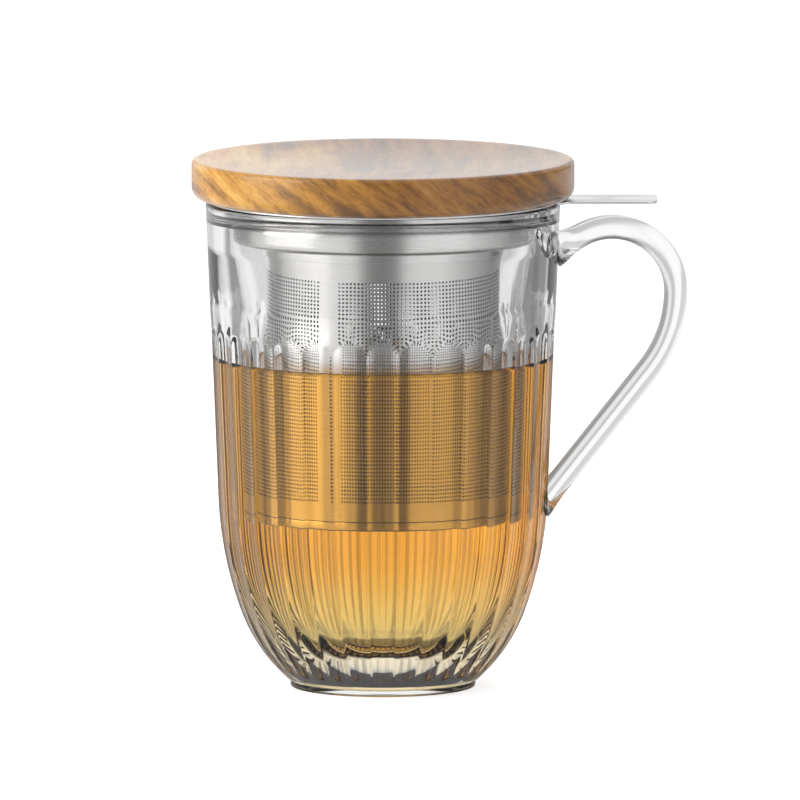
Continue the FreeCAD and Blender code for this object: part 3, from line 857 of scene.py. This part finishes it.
dress(glassMaterial(), glassBody, glassHandle)
dress(teaMaterial(), tea)
dress(steelMaterial("brushedSteel"), infuserHead, thumbTab, filterCap)
dress(steelMaterial("filterSteel"), filterTube)
dress(steelMaterial("filterPaintedShade"), filterShadeLiner)
dress(woodMaterial(), woodLid)
dress(siliconeMaterial(), lidSeal)
print("materials made")


# Floor, world and camera

stageSizes = {
    "floor": 5.0, "floorGlow": 0.66, "paintedShadowRadius": 21.0, "paintedShadowEnd": 27.0,
    "ceiling": (0.60, 0.61, 0.63, 1), "ceilingInGlass": (0.07, 0.07, 0.075, 1),
    "ceilingFrom": 0.18, "ceilingTo": 0.38,  # height of the direction, as a sine
}


# Brightness round the horizon by direction in degrees: 0 is the camera's side, 90 the handle's
skyStops = [
    (-180, 1.0), (-174, 1.0), (-171, 0.65), (-161, 0.70), (-158, 1.0), (-142, 0.95), (-135, 0.30),
    (-112, 0.30), (-104, 0.75), (-60, 1.0), (-26, 0.88), (-14, 0.24), (0, 0.17), (12, 0.26),
    (22, 0.85), (56, 0.90), (96, 0.45), (110, 0.24), (133, 0.24), (141, 0.26), (156, 0.34),
    (159, 0.85), (164, 0.85), (167, 0.55), (172, 0.60), (175, 1.0), (180, 1.0),
]


def skyRamp(tree, vector):
    # Brightness by the direction of a vector seen from above, from the stops
    split = node(tree, "ShaderNodeSeparateXYZ")
    tree.links.new(vector, split.inputs["Vector"])
    flipY = node(tree, "ShaderNodeMath", operation="MULTIPLY")
    flipY.inputs[1].default_value = -1.0
    tree.links.new(split.outputs["Y"], flipY.inputs[0])
    azimuth = node(tree, "ShaderNodeMath", operation="ARCTAN2")
    tree.links.new(split.outputs["X"], azimuth.inputs[0])
    tree.links.new(flipY.outputs["Value"], azimuth.inputs[1])
    share = node(tree, "ShaderNodeMapRange")
    share.inputs["From Min"].default_value = -math.pi
    share.inputs["From Max"].default_value = math.pi
    tree.links.new(azimuth.outputs["Value"], share.inputs["Value"])
    around = node(tree, "ShaderNodeValToRGB")
    elements = around.color_ramp.elements
    for index, (angle, level) in enumerate(skyStops):
        place = (angle + 180) / 360
        if index == 0:
            element = elements[0]
        elif index == len(skyStops) - 1:
            element = elements[-1]
        else:
            element = elements.new(place)
        element.position = place
        element.color = (level, level, level, 1)
    tree.links.new(share.outputs["Result"], around.inputs["Fac"])
    return around.outputs["Color"], split.outputs["Z"]


def buildFloor():
    # White to the camera, with the object's shadow. Through the glass it glows with the sky's
    # pattern as painted light, and a painted shadow darkens it close to the foot.
    half = stageSizes["floor"] * 1000
    corners = [(-half, -half, 0), (half, -half, 0), (half, half, 0), (-half, half, 0)]
    floor = newPiece("floor", corners, [(0, 1, 2, 3)])
    material, tree, shader = newMaterial("paleFloor")
    shader.inputs["Base Color"].default_value = (0.92, 0.92, 0.92, 1)
    shader.inputs["Roughness"].default_value = 0.9
    shader.inputs["Specular IOR Level"].default_value = 0.0
    shader.inputs["Emission Color"].default_value = (1, 1, 1, 1)
    path = node(tree, "ShaderNodeLightPath")
    glow = node(tree, "ShaderNodeMath", operation="MULTIPLY")
    glow.inputs[1].default_value = stageSizes["floorGlow"]
    tree.links.new(path.outputs["Is Camera Ray"], glow.inputs[0])
    tree.links.new(glow.outputs["Value"], shader.inputs["Emission Strength"])
    coordinates = node(tree, "ShaderNodeTexCoord")
    pattern = skyRamp(tree, coordinates.outputs["Object"])[0]
    # Painted shadow: through the glass, the floor's glow fades out close to the foot
    away = node(tree, "ShaderNodeVectorMath", operation="LENGTH")
    tree.links.new(coordinates.outputs["Object"], away.inputs[0])
    near = node(tree, "ShaderNodeMapRange")
    near.inputs["From Min"].default_value = stageSizes["paintedShadowRadius"] * mm
    near.inputs["From Max"].default_value = stageSizes["paintedShadowEnd"] * mm
    tree.links.new(away.outputs["Value"], near.inputs["Value"])
    seen = node(tree, "ShaderNodeEmission")
    tree.links.new(pattern, seen.inputs["Color"])
    tree.links.new(near.outputs["Result"], seen.inputs["Strength"])
    mix = node(tree, "ShaderNodeMixShader")
    tree.links.new(path.outputs["Is Transmission Ray"], mix.inputs["Fac"])
    tree.links.new(shader.outputs["BSDF"], mix.inputs[1])
    tree.links.new(seen.outputs["Emission"], mix.inputs[2])
    tree.links.new(mix.outputs["Shader"], tree.nodes["Material Output"].inputs["Surface"])
    floor.data.materials.append(material)


def buildWorld():
    # Light by direction, as a ramp round the horizon that fades into a plain ceiling, which is dark
    # to rays that come through glass. Camera rays see plain white.
    world = bpy.data.worlds.new("studio")
    world.use_nodes = True
    bpy.context.scene.world = world
    tree = world.node_tree
    background = tree.nodes["Background"]
    coordinates = node(tree, "ShaderNodeTexCoord")
    pattern, height = skyRamp(tree, coordinates.outputs["Generated"])
    up = node(tree, "ShaderNodeMapRange")
    up.inputs["From Min"].default_value = stageSizes["ceilingFrom"]
    up.inputs["From Max"].default_value = stageSizes["ceilingTo"]
    tree.links.new(height, up.inputs["Value"])
    overhead = node(tree, "ShaderNodeMix", data_type="RGBA")
    tree.links.new(up.outputs["Result"], overhead.inputs["Factor"])
    tree.links.new(pattern, overhead.inputs[6])
    path = node(tree, "ShaderNodeLightPath")
    ceiling = node(tree, "ShaderNodeMix", data_type="RGBA")
    ceiling.inputs[6].default_value = stageSizes["ceiling"]
    ceiling.inputs[7].default_value = stageSizes["ceilingInGlass"]
    tree.links.new(path.outputs["Is Transmission Ray"], ceiling.inputs["Factor"])
    tree.links.new(ceiling.outputs[2], overhead.inputs[7])
    final = node(tree, "ShaderNodeMix", data_type="RGBA")
    tree.links.new(path.outputs["Is Camera Ray"], final.inputs["Factor"])
    tree.links.new(overhead.outputs[2], final.inputs[6])
    final.inputs[7].default_value = (1, 1, 1, 1)
    tree.links.new(final.outputs[2], background.inputs["Color"])
    background.inputs["Strength"].default_value = 1.0


lampSizes = {  # place and target, width and height in mm, watts and colour
    "keyLeft": ((-700, -230, 380), (-10, 0, 90), 620, 700, 3.3, (1.0, 0.96, 0.90)),
    "fillRight": ((500, -490, 350), (10, 0, 80), 560, 640, 0.4, (0.97, 0.98, 1.0)),
    "topSoft": ((40, 160, 640), (0, 0, 120), 700, 560, 0.7, (1.0, 1.0, 1.0)),
}


def lamp(name, place, target, width, height, power, colour):
    # A soft oblong light that looks from its place along the line to its target
    light = bpy.data.lights.new(name, "AREA")
    light.shape = "RECTANGLE"
    light.size = width * mm
    light.size_y = height * mm
    light.energy = power
    light.color = colour
    holder = bpy.data.objects.new(name, light)
    bpy.context.scene.collection.objects.link(holder)
    holder.location = Vector(place) * mm
    away = Vector(place) - Vector(target)
    holder.rotation_euler = away.to_track_quat("Z", "Y").to_euler()


cameraSizes = {
    "distance": 6000.0, "elevation": 6.9, "lookX": 4.1, "lookZ": 69.3, "width": 192.7, "sensor": 36.0,
}


def buildCamera():
    # The lens that shows the width at the distance: the sensor times the distance over the width
    lens = bpy.data.cameras.new("camera")
    lens.sensor_width = cameraSizes["sensor"]
    lens.lens = cameraSizes["sensor"] * cameraSizes["distance"] / cameraSizes["width"]
    camera = bpy.data.objects.new("camera", lens)
    bpy.context.scene.collection.objects.link(camera)
    tilt = math.radians(cameraSizes["elevation"])
    look = Vector((cameraSizes["lookX"], 0, cameraSizes["lookZ"]))
    away = Vector((0, -math.cos(tilt), math.sin(tilt))) * cameraSizes["distance"]
    camera.location = (look + away) * mm
    camera.rotation_euler = (math.pi / 2 - tilt, 0, 0)
    lens.clip_end = 40  # metres, past the floor's far edge
    bpy.context.scene.camera = camera


buildFloor()
buildWorld()
for lampName, lampValues in lampSizes.items():
    lamp(lampName, *lampValues)
buildCamera()
bpy.context.scene.view_settings.view_transform = "Standard"
print("stage made")
